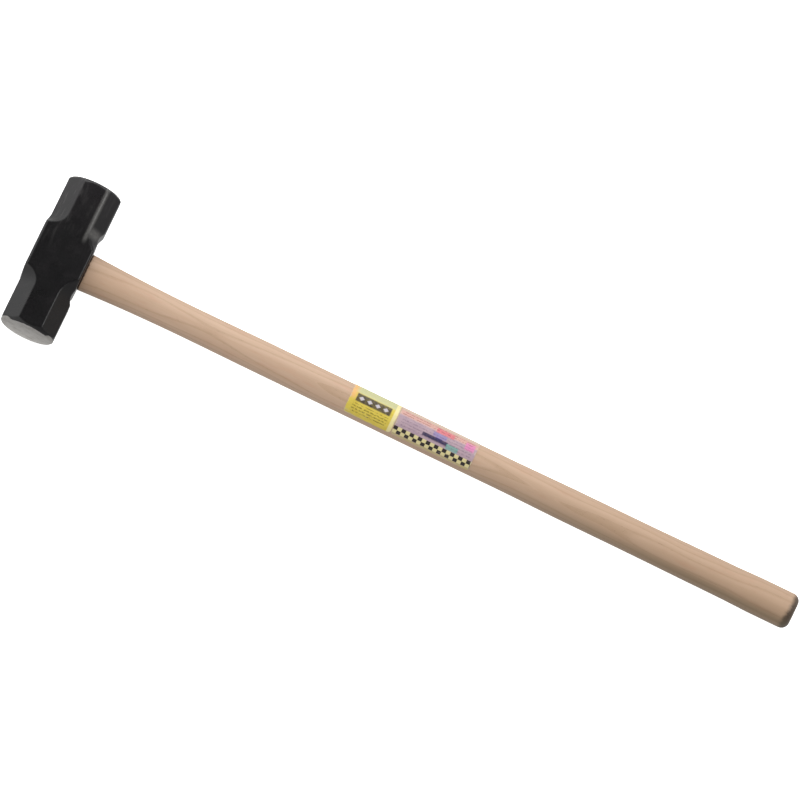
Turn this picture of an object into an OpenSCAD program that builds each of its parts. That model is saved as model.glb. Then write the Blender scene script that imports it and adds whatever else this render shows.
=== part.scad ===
// Sledgehammer: forged octagonal double-faced head on a straight wooden handle.
//
// The hammer lies on one cheek. +X runs along the handle to the grip end, +Y
// along the striking axis and +Z up out of the upper cheek. The origin is on
// the lower cheek, straight below the crossing of handle and striking axis.
// All lengths are in millimetres and all angles in degrees.

/* [Head] */
// Length of the head over the two striking faces
head_len = 178; // [165:1:185]
// Width of the octagonal polls across opposite flats
poll_w = 62.3; // [59:0.1:64]
// Width of each of the four flats that face the cheeks, the crown and the handle
poll_flat = 27.5; // [25:0.5:29]
// Height by which the crown side of the eye block stands proud of the polls
crown_pad = 1.75; // [0.5:0.05:2.5]
// Half length of the flat top of the crown pad
crown_pad_half_len = 29; // [27:0.5:31]
// Depth of the recess in the handle side of the eye block
seat_recess = 2.2; // [1:0.1:4]
// Distance from the middle to the hollow at each end of the seat
seat_hollow_y = 35; // [32:0.5:37]
// Radius of those hollows
seat_hollow_r = 14; // [12:1:18]
// Depth of those hollows below the seat
seat_hollow_dip = 1.2; // [0.4:0.1:2]
// Distance from the middle at which the poll chamfers begin to run out
chamfer_start = 44; // [42:0.5:48]
// Run-out radius of the chamfers on the crown side
crown_run_r = 18; // [15:1:24]
// Run-out radius of the chamfers on the handle side
seat_side_run_r = 38; // [30:1:42]
// Leg of the broken edges along the eye block
edge_break = 2.2; // [1:0.1:3]
// Radius of the flat part of each turned striking face
face_r = 29.3; // [27:0.1:29.4]

/* [Eye] */
// Length of the eye opening on the handle side, along the striking axis
eye_seat_l = 40.6; // [38:0.1:42]
// Length of the eye at its narrow waist
eye_waist_l = 37.2; // [35:0.1:38]
// Length of the eye opening on the crown side
eye_crown_l = 41; // [39:0.1:43]
// Width of the eye as a share of its length
eye_ratio = 0.735; // [0.7:0.005:0.78]
// Gap between the tongue and the wall of the eye
eye_gap = 0.05; // [0.02:0.01:0.1]

/* [Handle] */
// Overall length of the hammer from crown to grip end
total_len = 914.4; // [860:0.2:960]
// Width of the oval shoulder where it sits on the head
shoulder_l = 43; // [42.5:0.1:44]
// Thickness of the oval shoulder where it sits on the head
shoulder_t = 32; // [31:0.1:34]
// Length of the shoulder from the head to the round shaft
shoulder_len = 125; // [100:1:140]
// Diameter of the shaft just behind the shoulder
neck_d = 35.6; // [34:0.1:36]
// Diameter of the long straight part of the shaft
shaft_d = 36.2; // [35.5:0.1:37]
// Diameter of the grip end
grip_d = 40.6; // [39:0.1:42]
// Length of the cylindrical part of the grip end
grip_len = 40; // [36:1:50]
// Rounding of the grip end
grip_round = 9; // [5:0.5:12]

/* [Wedges] */
// Depth of the wooden wedge in the eye
wood_wedge_depth = 38; // [30:1:42]
// Thickness of the wooden wedge at the crown
wood_wedge_t = 6; // [5:0.1:7]
// Depth of each steel wedge
steel_wedge_depth = 24; // [18:1:28]
// Thickness of each steel wedge at the crown
steel_wedge_t = 3.4; // [2.5:0.1:4]
// Width of each steel wedge
steel_wedge_w = 21; // [18:0.5:22]
// Distance of each steel wedge from the middle of the eye
steel_wedge_off = 9; // [8:0.5:10]
// Angle of the steel wedges to the square position
steel_wedge_skew = 12; // [0:1:15]

/* [Labels] */
// Distance from the crown to the first label
label_from_crown = 379; // [330:0.5:400]
// Length of the plain yellow label along the shaft
label_yellow_len = 56; // [40:0.5:70]
// Length of the banded label along the shaft
label_banded_len = 93; // [70:0.5:110]
// Gap between the two labels
label_space = 1; // [0.2:0.1:4]
// Thickness of a label
label_t = 0.25; // [0.2:0.05:0.4]
// Angle by which a label wraps round the shaft
label_wrap = 180; // [150:5:220]
// Angle from the top of the shaft down to the near edge of a label
label_edge = 62; // [30:1:70]

/* [View] */
// Which part to draw

/* [Hidden] */
$fn = 96;

// Head sizes that follow from the ones above
half_w = poll_w / 2;
half_chamfer_w = (half_w + poll_flat / 2) / sqrt(2);
axis_z = half_w;
crown_x = -half_w - crown_pad;
crown_pad_run = 9;
seat_x = half_w - seat_recess;
corner_r = norm([crown_x, half_w]);
waist_x = -4;
over = 1;
reach = 60;

// Handle stations along X
end_x = total_len + crown_x;
shaft_x = seat_x + shoulder_len;
plain_from = 240;
plain_to = 540;
flare_x = end_x - grip_round - grip_len;
// The slow swell between them, as distance along X and growth in radius
swell = [[602, 0.65], [708, 0.85], [752, 1.2], [806, 1.5]];

// The shoulder is drawn as rings of points, and its thin end is sunk in the shaft
shoulder_sides = 48;
shoulder_steps = 10;
shoulder_end_d = neck_d - 0.2;

// Wedge tips
wood_tip_t = 1.6;
steel_tip_t = 0.8;

// Labels
label_gap = 0.02;
label_yellow_x = crown_x + label_from_crown;
label_banded_x = label_yellow_x + label_yellow_len + label_space;

// Colours
paint_black = [0.07, 0.07, 0.075];
ash_wood = [0.83, 0.70, 0.54];
wedge_wood = [0.66, 0.50, 0.33];
bare_steel = [0.62, 0.62, 0.63];
label_yellow_c = [0.93, 0.83, 0.20];
label_lilac_c = [0.72, 0.66, 0.76];

// Value between two ends that changes fast at first and settles smoothly
function fair(from, to, t) = to + (from - to) * pow(1 - t, 2);

// Moves a child from the handle axis to its place above the cheek
module on_axis() {
    translate([0, 0, axis_z]) children();
}

// Turns a solid of revolution so that its axis lies along X
module along_x() {
    rotate([0, 90, 0]) children();
}

// Material outside one chamfer of one poll, with a hollow run-out
module chamfer_cut(run_r) {
    translate([-reach / 2, chamfer_start, half_chamfer_w])
        cube([reach, head_len / 2 - chamfer_start + over, run_r]);
    translate([-reach / 2, chamfer_start, half_chamfer_w + run_r])
        along_x() cylinder(h = reach, r = run_r);
}

// The four chamfers of the poll on the +Y side
module poll_chamfers() {
    for (turn = [-45, -135]) rotate([0, turn, 0]) chamfer_cut(crown_run_r);
    for (turn = [45, 135]) rotate([0, turn, 0]) chamfer_cut(seat_side_run_r);
}

// The recess in the handle side of the eye block, with a hollow at each end
module seat_cut() {
    translate([seat_x, -seat_hollow_y, -reach / 2])
        cube([reach, 2 * seat_hollow_y, reach]);
    for (side = [-1, 1])
        translate([seat_x + seat_hollow_r - seat_hollow_dip, side * seat_hollow_y, -reach / 2])
            cylinder(h = reach, r = seat_hollow_r);
}

// Breaks one long edge of the eye block, given where that edge is
module edge_cut(x, turn) {
    translate([x, 0, 0]) rotate([0, turn, 0])
        translate([-reach / 4, -chamfer_start, -edge_break / sqrt(2)])
            cube([reach / 2, 2 * chamfer_start, reach / 4]);
}

// Square bar with the pad of the eye block on its crown side
module blank() {
    pad_end = crown_pad_half_len + crown_pad_run;
    linear_extrude(height = poll_w, center = true)
        polygon([
            [half_w, -head_len / 2],
            [half_w, head_len / 2],
            [-half_w, head_len / 2],
            [-half_w, pad_end],
            [crown_x, crown_pad_half_len],
            [crown_x, -crown_pad_half_len],
            [-half_w, -pad_end],
            [-half_w, -head_len / 2]
        ]);
}

// Turned outline that bevels both striking faces
module turned_ends() {
    bevel = corner_r - face_r + over;
    rotate([90, 0, 0]) rotate_extrude()
        polygon([
            [0, -head_len / 2],
            [face_r, -head_len / 2],
            [face_r + bevel, -head_len / 2 + bevel],
            [face_r + bevel, head_len / 2 - bevel],
            [face_r, head_len / 2],
            [0, head_len / 2]
        ]);
}

// Hourglass oval of the eye, smaller all round by a gap
module eye_solid(gap, x_from, x_to) {
    slope_crown = (eye_crown_l - eye_waist_l) / 2 / (waist_x - crown_x);
    slope_seat = (eye_seat_l - eye_waist_l) / 2 / (seat_x - waist_x);
    waist_r = eye_waist_l / 2 - gap;
    scale([1, 1, eye_ratio]) along_x() rotate_extrude()
        polygon([
            [0, x_from],
            [waist_r + slope_crown * (waist_x - x_from), x_from],
            [waist_r, waist_x],
            [waist_r + slope_seat * (x_to - waist_x), x_to],
            [0, x_to]
        ]);
}

// Forged head with octagonal polls, square eye block and oval eye
module head() {
    color(paint_black) on_axis() difference() {
        intersection() {
            blank();
            turned_ends();
        }
        poll_chamfers();
        mirror([0, 1, 0]) poll_chamfers();
        seat_cut();
        for (side = [-1, 1]) {
            translate([0, 0, side * half_w]) edge_cut(crown_x, side > 0 ? -45 : -135);
            translate([0, 0, side * half_w]) edge_cut(seat_x, side > 0 ? 45 : 135);
        }
        eye_solid(0, crown_x - over, seat_x + over);
    }
}

// Oval shoulder that fairs into the round shaft
module shoulder() {
    rings = [for (i = [0:shoulder_steps]) i / shoulder_steps];
    points = [
        for (t = rings)
            for (j = [0:shoulder_sides - 1])
                let (turn = 360 * j / shoulder_sides)
                [
                    seat_x + shoulder_len * t,
                    fair(shoulder_l, shoulder_end_d, t) / 2 * cos(turn),
                    fair(shoulder_t, shoulder_end_d, t) / 2 * sin(turn)
                ]
    ];
    last = shoulder_sides * shoulder_steps;
    near_cap = [[for (j = [0:shoulder_sides - 1]) j]];
    far_cap = [[for (j = [shoulder_sides - 1:-1:0]) last + j]];
    skin = [
        for (i = [0:shoulder_steps - 1])
            for (j = [0:shoulder_sides - 1])
                let (a = i * shoulder_sides + j,
                     b = i * shoulder_sides + (j + 1) % shoulder_sides)
                for (tri = [[a, a + shoulder_sides, b + shoulder_sides],
                            [a, b + shoulder_sides, b]])
                    tri
    ];
    polyhedron(points = points, faces = concat(near_cap, far_cap, skin), convexity = 4);
}

// Round shaft with a straight middle, a slow swell and a rounded grip end
module shaft() {
    round_x = end_x - grip_round;
    along_x() rotate_extrude()
        polygon(concat(
            [
                [0, shaft_x - over],
                [neck_d / 2, shaft_x - over],
                [neck_d / 2, 180],
                [shaft_d / 2, plain_from],
                [shaft_d / 2, plain_to]
            ],
            [for (station = swell) [shaft_d / 2 + station[1], station[0]]],
            [[grip_d / 2, flare_x]],
            [
                for (turn = [90:-11.25:0])
                    [grip_d / 2 - grip_round + grip_round * sin(turn),
                     round_x + grip_round * cos(turn)]
            ],
            [[0, end_x]]
        ));
}

// Tongue that fills the eye, flush with the crown
module tongue() {
    eye_solid(eye_gap, crown_x, seat_x + over);
}

// Tapered slip driven into the crown, as wide as asked and centred on Y
module slip(depth, thick, tip, width) {
    translate([crown_x, width / 2, 0]) rotate([90, 0, 0]) linear_extrude(height = width)
        polygon([
            [0, -thick / 2],
            [depth, -tip / 2],
            [depth, tip / 2],
            [0, thick / 2]
        ]);
}

// Wooden wedge before its ends are trimmed to the oval
module wood_slip() {
    slip(wood_wedge_depth, wood_wedge_t, wood_tip_t, reach);
}

// Steel wedge on one side of the eye
module steel_slip(side) {
    translate([0, side * steel_wedge_off, 0]) rotate([90 + side * steel_wedge_skew, 0, 0])
        slip(steel_wedge_depth, steel_wedge_t, steel_tip_t, steel_wedge_w);
}

// Wooden handle: tongue, shoulder and shaft in one piece, slotted for the wedges
module handle() {
    color(ash_wood) on_axis() {
        difference() {
            union() {
                tongue();
                shoulder();
                shaft();
            }
            wood_slip();
            for (side = [-1, 1]) steel_slip(side);
        }
    }
}

// Wooden wedge along the eye
module wood_wedge() {
    color(wedge_wood) on_axis() {
        difference() {
            intersection() {
                wood_slip();
                tongue();
            }
            for (side = [-1, 1]) steel_slip(side);
        }
    }
}

// Steel wedge across the eye
module steel_wedge(side) {
    color(bare_steel) on_axis() steel_slip(side);
}

// Paper label wrapped round the upper side of the shaft
module label(x, len) {
    inner = shaft_d / 2 + label_gap;
    on_axis() along_x() rotate([0, 0, 180 + label_edge - label_wrap])
        rotate_extrude(angle = label_wrap)
            translate([inner, x]) square([label_t, len]);
}

module label_yellow() {
    color(label_yellow_c) label(label_yellow_x, label_yellow_len);
}

module label_banded() {
    color(label_lilac_c) label(label_banded_x, label_banded_len);
}

head();
handle();
wood_wedge();
steel_wedge(-1);  // steel_wedge_front
steel_wedge(1);  // steel_wedge_rear
label_yellow();
label_banded();
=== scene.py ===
"""Sledgehammer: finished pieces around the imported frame, on a light table under soft studio light."""
import math

import bmesh
import bpy
from mathutils import Matrix, Vector, noise


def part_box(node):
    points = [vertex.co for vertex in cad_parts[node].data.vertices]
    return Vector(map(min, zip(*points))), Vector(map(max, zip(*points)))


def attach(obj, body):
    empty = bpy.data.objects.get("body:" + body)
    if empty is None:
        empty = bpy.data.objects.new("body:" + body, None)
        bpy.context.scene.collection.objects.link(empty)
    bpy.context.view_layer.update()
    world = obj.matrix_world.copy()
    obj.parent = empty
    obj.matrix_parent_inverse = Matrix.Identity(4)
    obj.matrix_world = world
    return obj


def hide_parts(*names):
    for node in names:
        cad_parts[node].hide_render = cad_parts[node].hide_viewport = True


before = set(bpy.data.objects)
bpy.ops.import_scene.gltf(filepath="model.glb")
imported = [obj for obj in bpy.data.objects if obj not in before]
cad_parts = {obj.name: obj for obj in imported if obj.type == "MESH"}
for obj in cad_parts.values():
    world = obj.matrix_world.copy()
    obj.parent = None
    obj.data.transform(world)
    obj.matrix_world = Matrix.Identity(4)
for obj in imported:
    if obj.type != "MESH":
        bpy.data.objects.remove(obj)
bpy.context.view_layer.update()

MM = 0.001
head_lo, head_hi = (Vector(corner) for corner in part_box("head"))
handle_lo, handle_hi = (Vector(corner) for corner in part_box("handle"))
axis_z = (head_lo.z + head_hi.z) / 2
half_w = (head_hi.z - head_lo.z) / 2
face_y = head_hi.y
crown_x = head_lo.x
end_x = handle_hi.x
grip_r = handle_hi.z - axis_z
shoulder_r = handle_hi.y

# Sizes of the wooden parts, as in the design
SEAT_RECESS = 2.2 * MM
EYE_HALF = (20.5 * MM, 18.6 * MM, 20.3 * MM)
EYE_RATIO = 0.735
WAIST_X = -4 * MM
SHOULDER_LEN = 125 * MM
SHOULDER_THICK_R = 16 * MM
NECK_R = 17.8 * MM
SHAFT_R = 18.1 * MM
GRIP_ROUND = 9 * MM
GRIP_LEN = 40 * MM
SWELL = ((540 * MM, 0), (602 * MM, 0.65 * MM), (708 * MM, 0.85 * MM),
         (752 * MM, 1.2 * MM), (806 * MM, 1.5 * MM))
seat_x = half_w - SEAT_RECESS

WEDGES = ("wood_wedge", "steel_wedge_front", "steel_wedge_rear")

# Labels: place of their near edge and wrap, as angles round the shaft, and thickness
LABEL_EDGE = math.radians(62)
LABEL_WRAP = math.radians(180)
LABEL_T = 0.25 * MM


# Mesh helpers ------------------------------------------------------------------------------------

def add_object(name, mesh):
    obj = bpy.data.objects.new(name, mesh)
    bpy.context.scene.collection.objects.link(obj)
    return obj


def weld(mesh, distance):
    """Joins points closer than a distance and splits faces of more than four corners."""
    bm = bmesh.new()
    bm.from_mesh(mesh)
    bmesh.ops.remove_doubles(bm, verts=bm.verts, dist=distance)
    bmesh.ops.triangulate(bm, faces=[face for face in bm.faces if len(face.verts) > 4])
    bm.to_mesh(mesh)
    bm.free()


def copy_of_node(node, name):
    """A new object with a welded copy of a CAD node's mesh."""
    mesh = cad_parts[node].data.copy()
    mesh.materials.clear()
    weld(mesh, 0.001 * MM)
    return add_object(name, mesh)


def apply_modifiers(obj):
    """Bakes an object's modifiers into its mesh."""
    evaluated = obj.evaluated_get(bpy.context.evaluated_depsgraph_get())
    mesh = bpy.data.meshes.new_from_object(evaluated)
    obj.modifiers.clear()
    obj.data = mesh


def soften(obj, voxel, rounds, extra=0, where=None):
    """Rebuilds a solid in even small quads and rounds its edges, with extra rounds at chosen places."""
    remesh = obj.modifiers.new("remesh", "REMESH")
    remesh.mode = "VOXEL"
    remesh.voxel_size = voxel
    smooth = obj.modifiers.new("soften", "SMOOTH")
    smooth.factor = 0.5
    smooth.iterations = rounds
    apply_modifiers(obj)
    if extra:
        group = obj.vertex_groups.new(name="extra")
        group.add([v.index for v in obj.data.vertices if where(v.co)], 1, "REPLACE")
        more = obj.modifiers.new("soften_more", "SMOOTH")
        more.factor = 0.5
        more.iterations = extra
        more.vertex_group = "extra"
        apply_modifiers(obj)
        obj.vertex_groups.clear()
    obj.data.shade_smooth()


def sink(obj, depth_at):
    """Moves each vertex inwards along its normal by depth_at(place, normal)."""
    moves = [(v, v.co - v.normal * depth_at(v.co, v.normal)) for v in obj.data.vertices]
    for vertex, place in moves:
        vertex.co = place
    obj.data.update()


def stands_for(obj, node, material):
    """Puts a finished piece in the place of its CAD node."""
    obj.data.materials.append(material)
    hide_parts(node)
    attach(obj, "root")


def dent(place, centre, radius, depth):
    """Depth of a round dent at a place."""
    near = 1 - min(1, (place - centre).length / radius)
    return depth * near * near * (3 - 2 * near)


# Head --------------------------------------------------------------------------------------------

# Marks left by use on the striking faces, in millimetres: X from the axis, distance above it on the
# rear face and below it on the front one, radius, depth
FACE_DENTS = ((9, 6, 6, 0.25), (-12, 3, 5, 0.2), (3, 14, 7, 0.22), (-6, 15, 4, 0.2),
              (19, 8, 4, 0.25), (-20, 9, 4, 0.2), (14, 19, 5, 0.3), (-15, 19, 5, 0.28),
              (0, 1, 9, 0.12), (25, 6, 3.5, 0.3))


def head_depth(place, normal):
    """Uneven forging skin on the sides and dents on the striking faces."""
    broad = 0.5 + 0.5 * noise.noise(place / (17 * MM))
    fine = 0.5 + 0.5 * noise.noise(place / (4.5 * MM) + Vector((7, 3, 5)))
    depth = (0.16 * broad + 0.08 * fine) * MM
    if abs(place.y) > face_y - 3 * MM:
        side = math.copysign(1, place.y)
        for x, off, radius, deep in FACE_DENTS:
            centre = Vector((x * MM, side * face_y, axis_z + side * off * MM))
            depth += dent(place, centre, radius * MM, deep * MM)
    return depth


def worn_round(place):
    """True along the softest edges of the forging, on the seat side of the rear poll."""
    return 18 * MM < place.y < face_y - 6 * MM and place.x > 2 * MM


def make_head(material):
    """Forged head: the CAD solid with soft edges, an uneven skin and used faces."""
    obj = copy_of_node("head", "head_forging")
    soften(obj, voxel=0.79 * MM, rounds=6, extra=48, where=worn_round)
    sink(obj, head_depth)
    stands_for(obj, "head", material)


# Handle ------------------------------------------------------------------------------------------

def between(x, stations):
    """Value at x on a line through (x, value) stations."""
    for (x_a, a), (x_b, b) in zip(stations, stations[1:]):
        if x < x_b:
            return a + (b - a) * (x - x_a) / (x_b - x_a)
    return stations[-1][1]


def tongue_half(x):
    """Half length of the tongue in the hourglass eye."""
    gap = 0.05 * MM
    return between(x, ((crown_x, EYE_HALF[0]), (WAIST_X, EYE_HALF[1]), (seat_x, EYE_HALF[2]))) - gap


def handle_halves(x):
    """Half width along Y and half thickness along Z of the handle at x."""
    if x < seat_x:
        half = tongue_half(x)
        return half, half * EYE_RATIO
    t = (x - seat_x) / SHOULDER_LEN
    if t < 1:
        left = (1 - t) ** 2
        return NECK_R + (shoulder_r - NECK_R) * left, NECK_R + (SHOULDER_THICK_R - NECK_R) * left
    flare_x = end_x - GRIP_ROUND - GRIP_LEN
    stations = [(seat_x + SHOULDER_LEN, NECK_R), (180 * MM, NECK_R), (240 * MM, SHAFT_R)]
    stations += [(at, SHAFT_R + growth) for at, growth in SWELL]
    stations += [(flare_x, grip_r), (end_x, grip_r)]
    radius = between(x, stations)
    return radius, radius


def crown_rings(face_x):
    """Rings of the sawn face at the crown."""
    half = tongue_half(face_x)
    shares = (0.08, 0.25, 0.42, 0.58, 0.72, 0.84, 0.93, 0.98)
    return [(face_x, half * share, half * EYE_RATIO * share) for share in shares]


def rings_between(start, end, gap):
    """Rings a gap apart, from a start to just short of an end."""
    rings = []
    x = start
    while x < end:
        rings.append((x, *handle_halves(x)))
        x += gap
    return rings


def seat_rings():
    """Rings of the step from the tongue to the shoulder, whose edge is rounded a little."""
    foot = seat_x - 0.1 * MM
    rings = [(foot, *handle_halves(foot))]
    for off, pinch in ((0.05, 0.75), (0.35, 0.3), (0.9, 0)):
        half_y, half_z = handle_halves(seat_x + off * MM)
        rings.append((seat_x + off * MM, half_y - pinch * MM, half_z - pinch * MM))
    return rings


def grip_end_rings():
    """Rings of the rounding at the grip end and of its flat face."""
    round_x = end_x - GRIP_ROUND
    flat_r = grip_r - GRIP_ROUND
    steps = 12
    rings = []
    for step in range(steps + 1):
        turn = math.radians(90 * step / steps)
        radius = flat_r + GRIP_ROUND * math.cos(turn)
        rings.append((round_x + GRIP_ROUND * math.sin(turn), radius, radius))
    for share in (0.75, 0.5, 0.25, 0.08):
        rings.append((end_x, flat_r * share, flat_r * share))
    return rings


def handle_rings():
    """(x, half width, half thickness) of every ring from the crown to the grip end."""
    crown_face = crown_x + 0.45 * MM
    rings = crown_rings(crown_face)
    rings += rings_between(crown_face + 0.25 * MM, seat_x - 0.2 * MM, gap=1.5 * MM)
    rings += seat_rings()
    rings += rings_between(seat_x + 2.5 * MM, end_x - GRIP_ROUND, gap=2 * MM)
    rings += grip_end_rings()
    return rings


def loft(name, rings, sides):
    """Closed tube through oval rings across the X axis, with a centre point at both ends."""
    verts = [(rings[0][0], 0, axis_z)]
    for x, half_y, half_z in rings:
        for k in range(sides):
            turn = 2 * math.pi * k / sides
            verts.append((x, half_y * math.cos(turn), axis_z + half_z * math.sin(turn)))
    verts.append((rings[-1][0], 0, axis_z))
    last = len(verts) - 1
    faces = []
    for k in range(sides):
        after = (k + 1) % sides
        faces.append((0, 1 + after, 1 + k))
        for ring in range(len(rings) - 1):
            a = 1 + ring * sides
            faces.append((a + k, a + after, a + sides + after, a + sides + k))
        tail = last - sides
        faces.append((last, tail + k, tail + after))
    mesh = bpy.data.meshes.new(name)
    mesh.from_pydata(verts, [], faces)
    mesh.validate()
    return add_object(name, mesh)


def handle_depth(place, normal):
    """Slow waves of a spokeshaved shaft and a rough sawn face at the crown."""
    along = Vector((place.x / (70 * MM), place.y / (14 * MM), place.z / (14 * MM)))
    depth = (0.11 + 0.11 * noise.noise(along)) * MM
    if abs(normal.x) > 0.9 and place.x < seat_x:
        depth += (0.1 + 0.1 * noise.noise(place / (1.6 * MM))) * MM
    return depth


def slot_cutter():
    """The three wedges in one closed shape. The wooden one's ends are drawn out in Y past the tongue,
    because its shape stops at the tongue's side and would leave a film of wood there."""
    inner_half = 16 * MM
    drawn_out = 0.8 * MM
    bm = bmesh.new()
    for node in WEDGES:
        bm.from_mesh(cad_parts[node].data)
    for vert in bm.verts:
        if abs(vert.co.y) > inner_half:
            vert.co.y += math.copysign(drawn_out, vert.co.y)
    mesh = bpy.data.meshes.new("cutter")
    bm.to_mesh(mesh)
    bm.free()
    cutter = add_object("cutter", mesh)
    soften(cutter, voxel=0.45 * MM, rounds=1)
    return cutter


def cut_slots(obj):
    """Cuts the slots of the three wedges out of the tongue."""
    cutter = slot_cutter()
    boolean = obj.modifiers.new("slots", "BOOLEAN")
    boolean.operation = "DIFFERENCE"
    boolean.solver = "EXACT"
    boolean.object = cutter
    apply_modifiers(obj)
    bpy.data.objects.remove(cutter)
    weld(obj.data, 0.02 * MM)


def make_handle(material):
    """Handle in one piece, lofted from the crown to the grip end and slotted for its wedges."""
    obj = loft("handle_shaft", handle_rings(), sides=96)
    sink(obj, handle_depth)
    cut_slots(obj)
    obj.data.shade_smooth()
    obj.data.set_sharp_from_angle(angle=math.radians(40))
    stands_for(obj, "handle", material)


# Wedges ------------------------------------------------------------------------------------------

def wedge_depth(place, normal):
    """Beaten top of the wooden wedge, a little below the crown."""
    top = max(0, -normal.x)
    return top * (0.28 + 0.12 * noise.noise(place / (2.2 * MM))) * MM


def make_wood_wedge(material):
    obj = copy_of_node("wood_wedge", "wedge_slip")
    soften(obj, voxel=0.45 * MM, rounds=2)
    sink(obj, wedge_depth)
    stands_for(obj, "wood_wedge", material)


def burr(place, normal):
    """Spread of the hammered top of a steel wedge, outwards on its two broad sides."""
    down = (place.x - crown_x) / (1.6 * MM)
    spread = 0.45 * MM * max(0, 1 - down) ** 2
    ragged = 0.7 + 0.5 * noise.noise(place / (1.3 * MM))
    top = max(0, -normal.x) * (0.36 + 0.1 * noise.noise(place / (2 * MM))) * MM
    return top - (1 - abs(normal.x)) * spread * ragged


def make_steel_wedge(node, name, material):
    obj = copy_of_node(node, name)
    soften(obj, voxel=0.35 * MM, rounds=2)
    sink(obj, burr)
    stands_for(obj, node, material)


# Labels ------------------------------------------------------------------------------------------

def sheet_rows(length, corner):
    """(distance along, width lost on each side) of every row of a sheet with round corners."""
    corner_steps = 8
    row_gap = 2 * MM
    inner = max(4, round(length / row_gap))
    turns = [math.pi / 2 * k / corner_steps for k in range(corner_steps + 1)]
    near = [(corner * (1 - math.cos(turn)), corner * (1 - math.sin(turn))) for turn in turns]
    middle = [(corner + (length - 2 * corner) * k / inner, 0) for k in range(1, inner)]
    return near + middle + [(length - at, lost) for at, lost in reversed(near)]


def sheet_points(start_x, rows, outer, columns):
    """Points of a sheet wrapped round the shaft: in each row the outer side's, then the inner side's."""
    middle = LABEL_EDGE - LABEL_WRAP / 2
    uneven = 0.03 * MM
    wave_length = 9 * MM
    points = []
    for along, lost in rows:
        half = LABEL_WRAP / 2 - lost / outer
        for level in (outer, outer - LABEL_T):
            for k in range(columns + 1):
                turn = middle + half * (2 * k / columns - 1)
                wave = uneven * (noise.noise(Vector((along / wave_length, turn * 3, 1))) - 1)
                radius = level + wave if level == outer else level
                points.append((start_x + along, -radius * math.sin(turn), axis_z + radius * math.cos(turn)))
    return points


def sheet_faces(row_count, columns):
    """Faces of both sides and of the rim, in the order of sheet_points, all turned outwards."""
    wide = columns + 1
    faces = []
    for row in range(row_count - 1):
        top, low = row * 2 * wide, row * 2 * wide + wide
        next_top, next_low = top + 2 * wide, low + 2 * wide
        for k in range(columns):
            faces.append((top + k, top + k + 1, next_top + k + 1, next_top + k))
            faces.append((low + k, next_low + k, next_low + k + 1, low + k + 1))
        faces.append((next_top, next_low, low, top))
        faces.append((top + columns, low + columns, next_low + columns, next_top + columns))
    end = (row_count - 1) * 2 * wide
    for k in range(columns):
        faces.append((k, wide + k, wide + k + 1, k + 1))
        faces.append((end + k, end + k + 1, end + wide + k + 1, end + wide + k))
    return faces


def make_label(node, name, material):
    """Thin printed sheet with round corners, wrapped over the upper side of the shaft."""
    lo, hi = (Vector(corner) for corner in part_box(node))
    columns = 64
    rows = sheet_rows(hi.x - lo.x, corner=3 * MM)
    points = sheet_points(lo.x, rows, hi.z - axis_z, columns)
    mesh = bpy.data.meshes.new(name)
    mesh.from_pydata(points, [], sheet_faces(len(rows), columns))
    mesh.validate()
    mesh.shade_smooth()
    mesh.set_sharp_from_angle(angle=math.radians(50))
    stands_for(add_object(name, mesh), node, material)


# Material helpers --------------------------------------------------------------------------------

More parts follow.
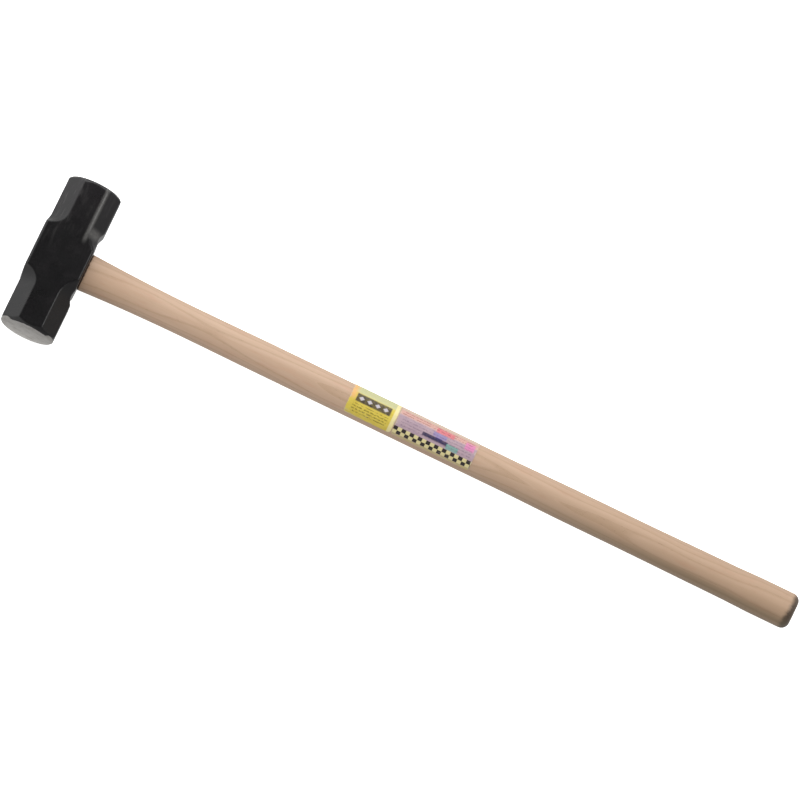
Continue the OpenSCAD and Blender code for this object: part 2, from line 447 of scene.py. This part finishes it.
class Paint:
    """One material's node tree, with short calls for the nodes used most. Places are in millimetres."""

    def __init__(self, name):
        self.material = bpy.data.materials.new(name)
        self.material.use_nodes = True
        self.tree = self.material.node_tree
        self.shader = self.tree.nodes["Principled BSDF"]
        coords = self.add("ShaderNodeTexCoord").outputs["Object"]
        self.place = self.scaled(coords, (1 / MM, 1 / MM, 1 / MM))
        self.x, self.y, self.z = self.add("ShaderNodeSeparateXYZ", {"Vector": self.place}).outputs
        self.z = self.sub(self.z, axis_z / MM)

    def add(self, kind, inputs=None, **settings):
        node = self.tree.nodes.new(kind)
        for name, value in settings.items():
            setattr(node, name, value)
        for key, value in (inputs or {}).items():
            self.put(node.inputs[key], value)
        return node

    def put(self, socket, value):
        if isinstance(value, bpy.types.NodeSocket):
            self.tree.links.new(value, socket)
        else:
            socket.default_value = value

    def set(self, **sockets):
        """Sets shader sockets; an underscore in a name stands for a space."""
        for name, value in sockets.items():
            if isinstance(value, tuple):
                value = (*value, 1)
            self.put(self.shader.inputs[name.replace("_", " ")], value)

    def math(self, operation, *values):
        node = self.add("ShaderNodeMath", operation=operation)
        for socket, value in zip(node.inputs, values):
            self.put(socket, value)
        return node.outputs[0]

    def mul(self, a, b):
        return self.math("MULTIPLY", a, b)

    def plus(self, a, b):
        return self.math("ADD", a, b)

    def sub(self, a, b):
        return self.math("SUBTRACT", a, b)

    def most(self, a, b):
        return self.math("MAXIMUM", a, b)

    def flip(self, value):
        return self.sub(1, value)

    def scaled(self, vector, factors):
        node = self.add("ShaderNodeVectorMath", operation="MULTIPLY")
        self.put(node.inputs[0], vector)
        self.put(node.inputs[1], factors)
        return node.outputs[0]

    def noise(self, lengths, detail=3, rough=0.5, shift=(0, 0, 0), colour=False):
        """Noise whose grain has the given length along X, Y and Z, about 0.5 on average."""
        factors = tuple(1 / length for length in lengths)
        moved = self.add("ShaderNodeVectorMath", operation="ADD")
        self.put(moved.inputs[0], self.scaled(self.place, factors))
        self.put(moved.inputs[1], shift)
        inputs = {"Vector": moved.outputs[0], "Scale": 1, "Detail": detail, "Roughness": rough}
        node = self.add("ShaderNodeTexNoise", inputs)
        return node.outputs["Color" if colour else 0]

    def step(self, value, low, high):
        """0 below low, 1 above high, smooth between; low may be the greater one."""
        node = self.add("ShaderNodeMapRange", {"Value": value}, interpolation_type="SMOOTHSTEP")
        turned = low > high
        self.put(node.inputs["From Min"], min(low, high))
        self.put(node.inputs["From Max"], max(low, high))
        self.put(node.inputs["To Min"], 1 if turned else 0)
        self.put(node.inputs["To Max"], 0 if turned else 1)
        return node.outputs[0]

    def mix(self, factor, a, b):
        node = self.add("ShaderNodeMix", data_type="RGBA")
        for socket, value in ((node.inputs["Factor"], factor), (node.inputs[6], a), (node.inputs[7], b)):
            self.put(socket, (*value, 1) if isinstance(value, tuple) else value)
        return node.outputs[2]

    def blend(self, factor, a, b):
        """Mixes two numbers."""
        node = self.add("ShaderNodeMix", data_type="FLOAT")
        for socket, value in ((node.inputs[0], factor), (node.inputs[2], a), (node.inputs[3], b)):
            self.put(socket, value)
        return node.outputs[0]

    def scale_colour(self, colour, factor):
        """Multiplies a colour by a number."""
        node = self.add("ShaderNodeVectorMath", operation="SCALE")
        self.put(node.inputs[0], colour)
        self.put(node.inputs["Scale"], factor)
        return node.outputs[0]

    def bump(self, height, millimetres, strength=1.0):
        inputs = {"Height": height, "Strength": strength, "Distance": millimetres * MM}
        node = self.add("ShaderNodeBump", inputs)
        self.put(self.shader.inputs["Normal"], node.outputs[0])

    def box(self, across, low, high, soft):
        """1 where a value lies between low and high, with soft edges."""
        above_low = self.step(across, low - soft, low + soft)
        below_high = self.step(across, high + soft, high - soft)
        return self.mul(above_low, below_high)


# Materials ---------------------------------------------------------------------------------------

def face_zone(p, fine, from_axis):
    """1 on the two ground striking faces, with a ragged rim, wider at the octagon's side corners."""
    aside = p.step(p.math("ABSOLUTE", p.x), 17, 27)
    ragged = p.sub(p.plus(from_axis, p.mul(p.sub(fine, 0.5), 3.0)), p.mul(aside, 3.5))
    inside = p.step(ragged, 28.9, 28.3)
    from_end = p.sub(face_y / MM, p.math("ABSOLUTE", p.y))
    on_face = p.step(p.sub(from_end, p.mul(aside, 1.6)), 1.3, 0.8)
    return p.mul(inside, on_face)


def black_paint(p, fine):
    """Black paint, dusty and scuffed, with a painted highlight along the soft edges and hollows on the seat
    side of the rear poll, and painted sheen that lightens the rear poll and the crown-side chamfers.
    """
    dust = p.step(p.noise((14, 14, 14), 5, 0.65, (2, 8, 1)), 0.45, 0.8)
    # Dust, and painted sheen that makes the rear poll lighter
    dust_and_sheen = p.plus(p.mul(dust, 0.7), p.mul(p.step(p.y, 30, 72), 0.6))
    black = p.mix(dust_and_sheen, (0.0048, 0.0045, 0.005), (0.0125, 0.0105, 0.012))
    # Scuffs, kept to the crown side and the rear half, where they also stand in for painted reflection on
    # the chamfers
    scuffs_and_sheen = p.mul(p.step(p.noise((5, 24, 5), 4, 0.62, (3, 2, 6)), 0.50, 0.70), p.step(p.y, -10, 60))
    crown_side = p.plus(0.25, p.mul(p.step(p.x, -8, -14), 0.75))
    black = p.mix(p.mul(scuffs_and_sheen, crown_side), black, (0.045, 0.043, 0.042))
    # Painted highlight: a lighter grey along the soft seat-side edge and in the hollows of the rear poll
    long_edge = p.mul(p.box(p.x, 11.5, 16.0, 1.5), p.step(p.y, 18, 30))
    hollow = p.mul(p.box(p.x, 15, 27, 3), p.box(p.y, 30, 41, 4))
    off_axis = p.step(p.math("ABSOLUTE", p.z), 15, 19)
    lightened = p.mul(p.most(long_edge, hollow), p.mul(off_axis, p.plus(0.35, fine)))
    return p.mix(lightened, black, (0.095, 0.092, 0.088))


def ground_steel(p, fine, rings):
    """Turned and stained steel of a striking face, brighter towards its lower rim by a painted reflection of
    the table below.
    """
    tone = p.plus(p.mul(fine, 0.8), p.mul(rings, 0.06))
    bright = p.mix(tone, (0.42, 0.40, 0.375), (0.68, 0.665, 0.64))
    stain = p.step(p.noise((11, 11, 11), 4, 0.6, (6, 6, 2)), 0.42, 0.68)
    bright = p.mix(p.mul(stain, 0.5), bright, (0.29, 0.265, 0.24))
    # Painted reflection of the table below, lighter towards the lower rim
    painted_reflection = p.plus(p.mul(p.step(p.z, 22, -26), 0.36), p.mul(p.step(p.z, -17, -27), 0.2))
    return p.scale_colour(bright, p.plus(0.84, painted_reflection))


def head_paint():
    """Semi-gloss black paint on forged steel, bare on the two striking faces and at a few edges."""
    p = Paint("head_black_paint")
    broad = p.noise((26, 26, 26), 4, 0.55)
    fine = p.noise((3, 3, 3), 4, 0.6, (4, 1, 2))
    scale = p.noise((0.8, 0.8, 0.8), 3, 0.6, (9, 5, 3))
    from_axis = p.math("SQRT", p.plus(p.mul(p.x, p.x), p.mul(p.z, p.z)))
    rings = p.math("SINE", p.mul(from_axis, 9.0))
    bare = face_zone(p, fine, from_axis)
    edge = p.step(p.add("ShaderNodeNewGeometry").outputs["Pointiness"], 0.53, 0.60)
    worn = p.mul(edge, p.step(p.plus(broad, p.mul(fine, 0.5)), 0.78, 0.95))
    steel_seen = p.most(bare, p.mul(worn, 0.7))
    paint_roughness = p.plus(0.2, p.mul(broad, 0.22))
    steel_roughness = p.plus(0.3, p.mul(fine, 0.25))
    p.set(Base_Color=p.mix(steel_seen, black_paint(p, fine), ground_steel(p, fine, rings)),
          Metallic=steel_seen, Roughness=p.blend(steel_seen, paint_roughness, steel_roughness))
    skin = p.plus(p.mul(fine, 0.7), p.mul(scale, 0.3))
    turned = p.plus(p.mul(rings, 0.06), p.mul(scale, 0.2))
    p.bump(p.blend(bare, skin, turned), 0.25, 0.9)
    return p.material


def ash_rings(p):
    """(early, late) wood of the growth rings round a pith below the handle, with a slow sway."""
    sway = p.noise((260, 45, 45), 2, 0.5, colour=True)
    sway_y, sway_z, _ = p.add("ShaderNodeSeparateColor", {"Color": sway}).outputs
    across = p.plus(p.sub(p.y, 18), p.mul(p.sub(sway_y, 0.5), 9))
    above = p.plus(p.plus(p.z, 74), p.mul(p.sub(sway_z, 0.5), 14))
    from_pith = p.math("SQRT", p.plus(p.mul(across, across), p.mul(above, above)))
    ring_width = 3.3
    year = p.math("FRACT", p.mul(from_pith, 1 / ring_width))
    early = p.mul(p.step(year, 0.34, 0.12), p.step(year, 0.0, 0.05))
    late = p.step(year, 0.45, 1.0)
    return early, late


def clean_ash(p, early, late, fibre, streak, pores):
    """Colour of new ash."""
    tone = p.plus(p.mul(streak, 0.7), p.mul(p.sub(fibre, 0.5), 0.45))
    wood = p.mix(tone, (0.54, 0.358, 0.237), (0.68, 0.495, 0.365))
    blush = p.step(p.noise((38, 9, 9), 3, 0.6, (8, 3, 5)), 0.50, 0.72)
    wood = p.mix(p.mul(blush, 0.4), wood, (0.56, 0.325, 0.215))
    wood = p.mix(p.mul(early, 0.38), wood, (0.40, 0.255, 0.15))
    wood = p.mix(p.mul(late, 0.22), wood, (0.46, 0.31, 0.20))
    return p.mix(p.mul(pores, 0.55), wood, (0.22, 0.13, 0.07))


def shaded_ash(p, wood, streak):
    """Painted shade: darkens wood a little beside the head, and more and more towards the grip and on its -Y
    side.
    """
    # Painted shade beside the head
    head_shade = p.mul(p.step(p.x, 130, 40), p.plus(0.06, p.mul(streak, 0.3)))
    wood = p.mix(head_shade, wood, (0.30, 0.165, 0.075))
    # Painted shade growing towards the grip, darker on the -Y side
    painted_falloff = p.mul(p.step(p.x, 300, 860), p.plus(0.8, p.mul(p.step(p.y, 2, -18), 1.0)))
    return p.mix(p.mul(painted_falloff, p.plus(0.12, p.mul(streak, 0.35))), wood, (0.27, 0.165, 0.085))


def soiled_and_shaded_grip(p, wood, fibre, streak):
    """Dirt on the rounded grip end, less on its flat, reaching further on its -Y side, where it is also
    painted shade; and painted shade along the -Y side of the grip.
    """
    end = end_x / MM
    ragged = p.plus(p.mul(p.noise((6, 5, 5), 3, 0.6), 5), p.mul(p.noise((4, 1.2, 1.2), 4, 0.65), 4))
    # The dirt reaches further on the -Y side, where it is also painted shade
    reach = p.plus(p.plus(p.x, ragged), p.mul(p.step(p.y, 4, -18), 3.5))
    flat = p.step(p.x, end - 1.1, end - 0.5)
    lightened = p.mul(flat, p.plus(0.25, p.mul(p.noise((8, 8, 8), 3, 0.6, (5, 5, 5)), 0.5)))
    dirt = p.mul(p.step(reach, end - 5.0, end + 1.5), p.flip(lightened))
    wood = p.mix(p.mul(dirt, p.plus(0.65, p.mul(fibre, 0.35))), wood, (0.042, 0.030, 0.019))
    # Painted shade along the -Y side of the grip
    low_side_shade = p.mul(p.step(p.y, -9, -19), p.step(p.x, 420, 800))
    return p.mix(p.mul(low_side_shade, p.plus(0.25, p.mul(streak, 0.4))), wood, (0.14, 0.105, 0.05))


def stained_tongue(p, wood, fibre):
    """Darker end grain at the crown, with drops of the head's paint on it and inside the eye."""
    paint = (0.02, 0.018, 0.018)
    crown = crown_x / MM
    seat = seat_x / MM
    crown_end = p.step(p.x, crown + 1.4, crown + 1.0)
    wood = p.mix(p.mul(crown_end, p.plus(0.35, p.mul(fibre, 0.5))), wood, (0.17, 0.105, 0.06))
    small = p.mul(p.noise((1.5, 1.5, 1.5), 3, 0.6), 0.3)
    drops = p.step(p.plus(p.noise((7, 7, 7), 3, 0.6, (4, 4, 9)), small), 0.62, 0.72)
    wood = p.mix(p.mul(crown_end, p.mul(drops, 0.85)), wood, paint)
    ragged = p.plus(p.x, p.mul(p.noise((3, 3, 3), 3, 0.6), -3))
    smear = p.step(ragged, seat + 0.4, seat - 0.6)
    return p.mix(p.mul(smear, 0.85), wood, paint)


def handle_wood():
    """Pale straight-grained ash, sanded and thinly varnished."""
    p = Paint("handle_ash_wood")
    early, late = ash_rings(p)
    fibre = p.noise((45, 0.9, 0.9), 4, 0.6)
    streak = p.noise((220, 6, 6), 3, 0.55, (3, 1, 7))
    open_pores = p.step(p.noise((5, 0.32, 0.32), 2, 0.5, (1, 2, 3)), 0.62, 0.72)
    pores = p.mul(open_pores, p.plus(0.25, early))
    wood = clean_ash(p, early, late, fibre, streak, pores)
    # Painted shade beside the head, towards the grip and on the -Y side
    wood = shaded_ash(p, wood, streak)
    wood = soiled_and_shaded_grip(p, wood, fibre, streak)
    wood = stained_tongue(p, wood, fibre)
    p.set(Base_Color=wood, Roughness=p.plus(0.40, p.mul(fibre, 0.2)), Coat_Weight=0.16,
          Coat_Roughness=0.38)
    relief = p.sub(p.plus(p.mul(fibre, 0.35), p.mul(early, -0.25)), p.mul(pores, 0.8))
    p.bump(relief, 0.12, 0.6)
    return p.material


def wedge_wood():
    """Sawn hardwood with the grain along the wedge."""
    p = Paint("wedge_hard_wood")
    fibre = p.noise((14, 0.5, 0.5), 4, 0.65)
    patch = p.noise((9, 4, 4), 3, 0.5, (5, 1, 1))
    tone = p.plus(p.mul(fibre, 0.7), p.mul(patch, 0.3))
    p.set(Base_Color=p.mix(tone, (0.20, 0.115, 0.06), (0.42, 0.27, 0.155)),
          Roughness=p.plus(0.55, p.mul(fibre, 0.25)))
    p.bump(fibre, 0.2, 0.7)
    return p.material


def bare_steel():
    """Cut steel with a trace of rust."""
    p = Paint("wedge_bare_steel")
    fine = p.noise((1.2, 1.2, 1.2), 4, 0.6)
    patch = p.noise((5, 5, 5), 4, 0.6, (3, 3, 1))
    rust = p.step(p.plus(patch, p.mul(fine, 0.3)), 0.66, 0.82)
    rusty = p.mul(rust, 0.8)
    steel = p.mix(fine, (0.38, 0.37, 0.36), (0.62, 0.61, 0.60))
    p.set(Base_Color=p.mix(rusty, steel, (0.16, 0.075, 0.035)), Metallic=p.flip(rusty),
          Roughness=p.plus(0.3, p.plus(p.mul(rust, 0.35), p.mul(fine, 0.15))))
    p.bump(p.plus(fine, p.mul(rust, 0.5)), 0.12, 0.8)
    return p.material


def label_places(p, node):
    """(along, around, length) in millimetres: distance from the label's head-side edge, distance
    round the shaft from its top towards -Y, and the label's length."""
    lo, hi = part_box(node)
    along = p.sub(p.x, lo[0] / MM)
    turn = p.math("ARCTAN2", p.mul(p.y, -1), p.z)
    return along, p.mul(turn, SHAFT_R / MM), (hi[0] - lo[0]) / MM


def fine_print(p, around, pitch):
    """Rows of short broken dashes, like print too small to read."""
    row = p.box(p.math("FRACT", p.mul(around, 1 / pitch)), 0.2, 0.68, 0.1)
    dashes = p.step(p.noise((2.1, 1.3, 1.3), 2, 0.5, (5, 9, 2)), 0.42, 0.52)
    return p.mul(row, dashes)


def finish_print(p, along, around, length, colour):
    """Scuffs a print, most of all at its edges, and gives it the sheen of printed paper."""
    grain = p.noise((1.5, 1.5, 1.5), 3, 0.6)
    rub = p.noise((18, 5, 5), 4, 0.65, (6, 2, 4))
    low_edge = LABEL_EDGE * SHAFT_R / MM
    ends = p.most(p.step(along, 2.2, 0.2), p.step(along, length - 2.2, length - 0.2))
    rim = p.most(ends, p.step(around, low_edge - 2.0, low_edge - 0.2))
    scuff = p.mul(p.step(p.plus(rub, p.mul(rim, 0.18)), 0.60, 0.74), 0.6)
    colour = p.mix(scuff, colour, (0.62, 0.54, 0.42))
    colour = p.scale_colour(colour, p.plus(0.92, p.mul(grain, 0.16)))
    p.set(Base_Color=colour, Roughness=p.plus(0.34, p.mul(scuff, 0.3)), Specular_IOR_Level=0.35)
    p.bump(p.plus(p.mul(grain, 0.3), p.mul(rub, 0.7)), 0.06, 0.5)
    return p.material


def lozenges(p, along, around):
    """A row of lozenges along a label."""
    pitch, half_length, half_width, middle = 9.6, 3.1, 2.3, -2.4
    cell = p.sub(p.math("FRACT", p.mul(p.sub(along, 8.3), 1 / pitch)), 0.5)
    off_x = p.math("ABSOLUTE", p.mul(cell, pitch / half_length))
    off_y = p.math("ABSOLUTE", p.mul(p.sub(around, middle), 1 / half_width))
    shape = p.step(p.plus(off_x, off_y), 1.25, 0.85)
    return p.mul(shape, p.box(along, 8.6, 46.4, 0.5))


def label_yellow_paper(node):
    """Yellow label: a dark panel with pale lozenges over rows of small print."""
    p = Paint("label_yellow_print")
    along, around, length = label_places(p, node)
    patch = p.noise((9, 5, 5), 3, 0.55)
    blotch = p.noise((3, 2, 2), 3, 0.6, (1, 4, 2))
    colour = p.mix(patch, (0.60, 0.44, 0.045), (0.80, 0.66, 0.12))
    colour = p.mix(p.step(around, -6.5, -9.5), colour, (0.58, 0.57, 0.30))
    orange_corner = p.mul(p.step(along, 9, 2), p.step(around, 3, -2))
    colour = p.mix(orange_corner, colour, (0.80, 0.47, 0.17))
    panel = p.mul(p.box(along, 7, 48, 0.7), p.box(around, -7.4, 2.2, 0.7))
    colour = p.mix(p.mul(panel, p.plus(0.55, p.mul(blotch, 0.7))), colour, (0.06, 0.05, 0.045))
    colour = p.mix(p.mul(lozenges(p, along, around), 0.95), colour, (0.60, 0.56, 0.60))
    rows = p.mul(p.box(along, 6, 48, 0.6), p.box(around, 4.4, 14.6, 0.4))
    small = p.mul(fine_print(p, around, 3.1), rows)
    colour = p.mix(p.mul(small, p.plus(0.2, blotch)), colour, (0.17, 0.12, 0.02))
    colour = p.mix(p.step(along, 50.8, 52.0), colour, (0.84, 0.74, 0.36))
    return finish_print(p, along, around, length, colour)


# Colour patches of the banded label, in millimetres: start and end along it, start and end round the
# shaft, colour, strength
COLOUR_PATCHES = (
    (44, 65, -11.5, -5.5, (0.70, 0.16, 0.20), 0.85),
    (42, 58, -5.0, 0.0, (0.28, 0.24, 0.52), 0.7),
    (46, 54, 0.2, 3.2, (0.05, 0.05, 0.42), 0.9),
    (79, 90, -10.5, -1.0, (0.72, 0.22, 0.46), 0.85),
    (31, 61, 0.6, 4.6, (0.035, 0.03, 0.085), 0.92),
    (60, 74, 1.6, 7.4, (0.20, 0.42, 0.37), 0.85),
)


def chequer(p, along, around, colour):
    """Lays a band of two rows of yellow and black squares over a colour."""
    pitch = 9.7
    wave = p.math("SINE", p.mul(along, 2 * math.pi / pitch))
    row = p.blend(p.step(around, 11.95, 12.25), 1, -1)
    dark = p.step(p.mul(wave, row), -0.12, 0.12)
    squares = p.mix(dark, (0.76, 0.67, 0.32), (0.008, 0.007, 0.004))
    return p.mix(p.mul(p.box(around, 7.8, 16.4, 0.35), 0.95), colour, squares)


def label_banded_paper(node):
    """Lilac label: salmon stripe, plain colour patches, rows of small print and a chequered band."""
    p = Paint("label_banded_print")
    along, around, length = label_places(p, node)
    patch = p.noise((12, 6, 6), 3, 0.55)
    blotch = p.noise((3.5, 2.5, 2.5), 3, 0.6, (2, 7, 4))
    colour = p.mix(patch, (0.36, 0.26, 0.33), (0.56, 0.41, 0.45))
    colour = p.mix(p.mul(p.step(around, -5.6, -8.0), 0.9), colour, (0.68, 0.40, 0.33))
    colour = p.mix(p.box(around, -19.5, -13.8, 0.6), colour, (0.62, 0.49, 0.38))
    for from_x, to_x, from_v, to_v, tint, strength in COLOUR_PATCHES:
        shape = p.mul(p.box(along, from_x, to_x, 0.6), p.box(around, from_v, to_v, 0.6))
        cover = p.mul(p.plus(0.7, p.mul(blotch, 0.6)), strength)
        colour = p.mix(p.mul(shape, cover), colour, tint)
    small = fine_print(p, around, 3.3)
    lilac_rows = p.mul(p.box(along, 5, length - 4, 0.6), p.box(around, -5.2, 6.4, 0.4))
    colour = p.mix(p.mul(p.mul(small, lilac_rows), p.mul(blotch, 0.8)), colour, (0.13, 0.09, 0.13))
    stripe_rows = p.mul(p.box(along, 3, length - 3, 0.6), p.box(around, -14.6, -5.6, 0.4))
    colour = p.mix(p.mul(p.mul(small, stripe_rows), p.plus(0.1, blotch)), colour, (0.30, 0.10, 0.09))
    colour = chequer(p, along, around, colour)
    colour = p.mix(p.step(around, 16.3, 16.9), colour, (0.55, 0.45, 0.22))
    return finish_print(p, along, around, length, colour)


# Stage -------------------------------------------------------------------------------------------

def table_white():
    """White acrylic of a light table, so bright from below that no shadow shows on it."""
    p = Paint("table_white")
    p.set(Base_Color=(0.8, 0.8, 0.8), Roughness=0.9, Emission_Color=(1, 1, 1), Emission_Strength=1.0)
    return p.material


def make_table():
    """Light table under the hammer, which rests on an edge of its lower cheek and on the grip end.
    It doesn't light or shade the hammer, or show in its reflections."""
    grip_x = end_x - GRIP_ROUND
    slope = math.atan2(handle_lo.z - head_lo.z, grip_x - seat_x)
    reach = 40.0
    mesh = bpy.data.meshes.new("table")
    corners = [(-reach, -reach, 0), (reach, -reach, 0), (reach, reach, 0), (-reach, reach, 0)]
    mesh.from_pydata(corners, [], [(0, 1, 2, 3)])
    obj = add_object("table", mesh)
    obj.matrix_world = Matrix.Translation((seat_x, 0, head_lo.z)) @ Matrix.Rotation(-slope, 4, "Y")
    mesh.materials.append(table_white())
    obj.visible_diffuse = False
    obj.visible_glossy = False
    obj.visible_shadow = False


def make_camera():
    """Long lens, nearly straight above the upper cheek, turned so that the handle runs down to the right."""
    azimuth, elevation, roll = math.radians(0.8), math.radians(75.5), math.radians(25.8)
    distance = 20.0
    view_width = 0.8673
    aim = Vector((0.3967, 0.0243, axis_z))
    back = Vector((math.sin(azimuth) * math.cos(elevation), -math.cos(azimuth) * math.cos(elevation),
                   math.sin(elevation)))
    up = (Vector((0, 1, 0)) - back * back.y).normalized()
    right = up.cross(back)
    cam = bpy.data.cameras.new("camera")
    cam.sensor_width = 36
    cam.lens = cam.sensor_width * distance / view_width
    cam.clip_end = 100
    obj = add_object("camera", cam)
    turned_right = math.cos(roll) * right + math.sin(roll) * up
    turned_up = math.cos(roll) * up - math.sin(roll) * right
    rotation = Matrix((turned_right, turned_up, back)).transposed().to_4x4()
    obj.matrix_world = Matrix.Translation(aim + back * distance) @ rotation
    bpy.context.scene.camera = obj
    return aim


def area_light(name, aim, direction, distance, size, power, glossy=True):
    """Square soft light in a direction from the aim point, facing it."""
    light = bpy.data.lights.new(name, "AREA")
    light.shape = "SQUARE"
    light.size = size
    light.energy = power
    obj = add_object(name, light)
    direction = Vector(direction).normalized()
    turn = direction.to_track_quat("Z", "Y").to_matrix().to_4x4()
    obj.matrix_world = Matrix.Translation(aim + direction * distance) @ turn
    obj.visible_glossy = glossy


def make_world(zenith, low, left, right, near):
    """White surroundings: dark overhead, dimmer below, on the grip's side and on the near side."""
    world = bpy.data.worlds.new("studio")
    world.use_nodes = True
    tree = world.node_tree
    coords = tree.nodes.new("ShaderNodeTexCoord")
    parts = tree.nodes.new("ShaderNodeSeparateXYZ")
    tree.links.new(coords.outputs["Generated"], parts.inputs[0])

    def ramp(axis, start, end, first, last):
        node = tree.nodes.new("ShaderNodeMapRange")
        node.interpolation_type = "SMOOTHSTEP"
        tree.links.new(parts.outputs[axis], node.inputs["Value"])
        for name, value in (("From Min", start), ("From Max", end), ("To Min", first), ("To Max", last)):
            if isinstance(value, bpy.types.NodeSocket):
                tree.links.new(value, node.inputs[name])
            else:
                node.inputs[name].default_value = value
        return node.outputs[0]

    def times(a, b):
        node = tree.nodes.new("ShaderNodeMath")
        node.operation = "MULTIPLY"
        tree.links.new(a, node.inputs[0])
        tree.links.new(b, node.inputs[1])
        return node.outputs[0]

    round_about = times(ramp("X", -0.7, 0.7, left, right), ramp("Y", -0.8, 0.3, near, 1.0))
    strength = ramp("Z", 0.70, 0.92, ramp("Z", -0.45, 0.0, low, round_about), zenith)
    background = tree.nodes["Background"]
    background.inputs["Color"].default_value = (1, 1, 1, 1)
    tree.links.new(strength, background.inputs["Strength"])
    bpy.context.scene.world = world


make_head(head_paint())
make_handle(handle_wood())
make_wood_wedge(wedge_wood())
steel = bare_steel()
make_steel_wedge("steel_wedge_front", "wedge_front", steel)
make_steel_wedge("steel_wedge_rear", "wedge_rear", steel)
make_label("label_yellow", "label_yellow_sheet", label_yellow_paper("label_yellow"))
make_label("label_banded", "label_banded_sheet", label_banded_paper("label_banded"))
make_table()
aim = make_camera()
make_world(zenith=0.06, low=0.6, left=1.3, right=0.36, near=0.7)
area_light("top_soft", aim, (-0.25, 0.05, 1.0), distance=1.3, size=1.0, power=6.6, glossy=False)
area_light("far_soft", aim, (-0.25, 0.87, 0.5), distance=1.7, size=1.1, power=7)
area_light("edge_soft", aim, (0.69, 0.25, 0.69), distance=2.4, size=1.0, power=13)
bpy.context.scene.view_settings.view_transform = "Standard"
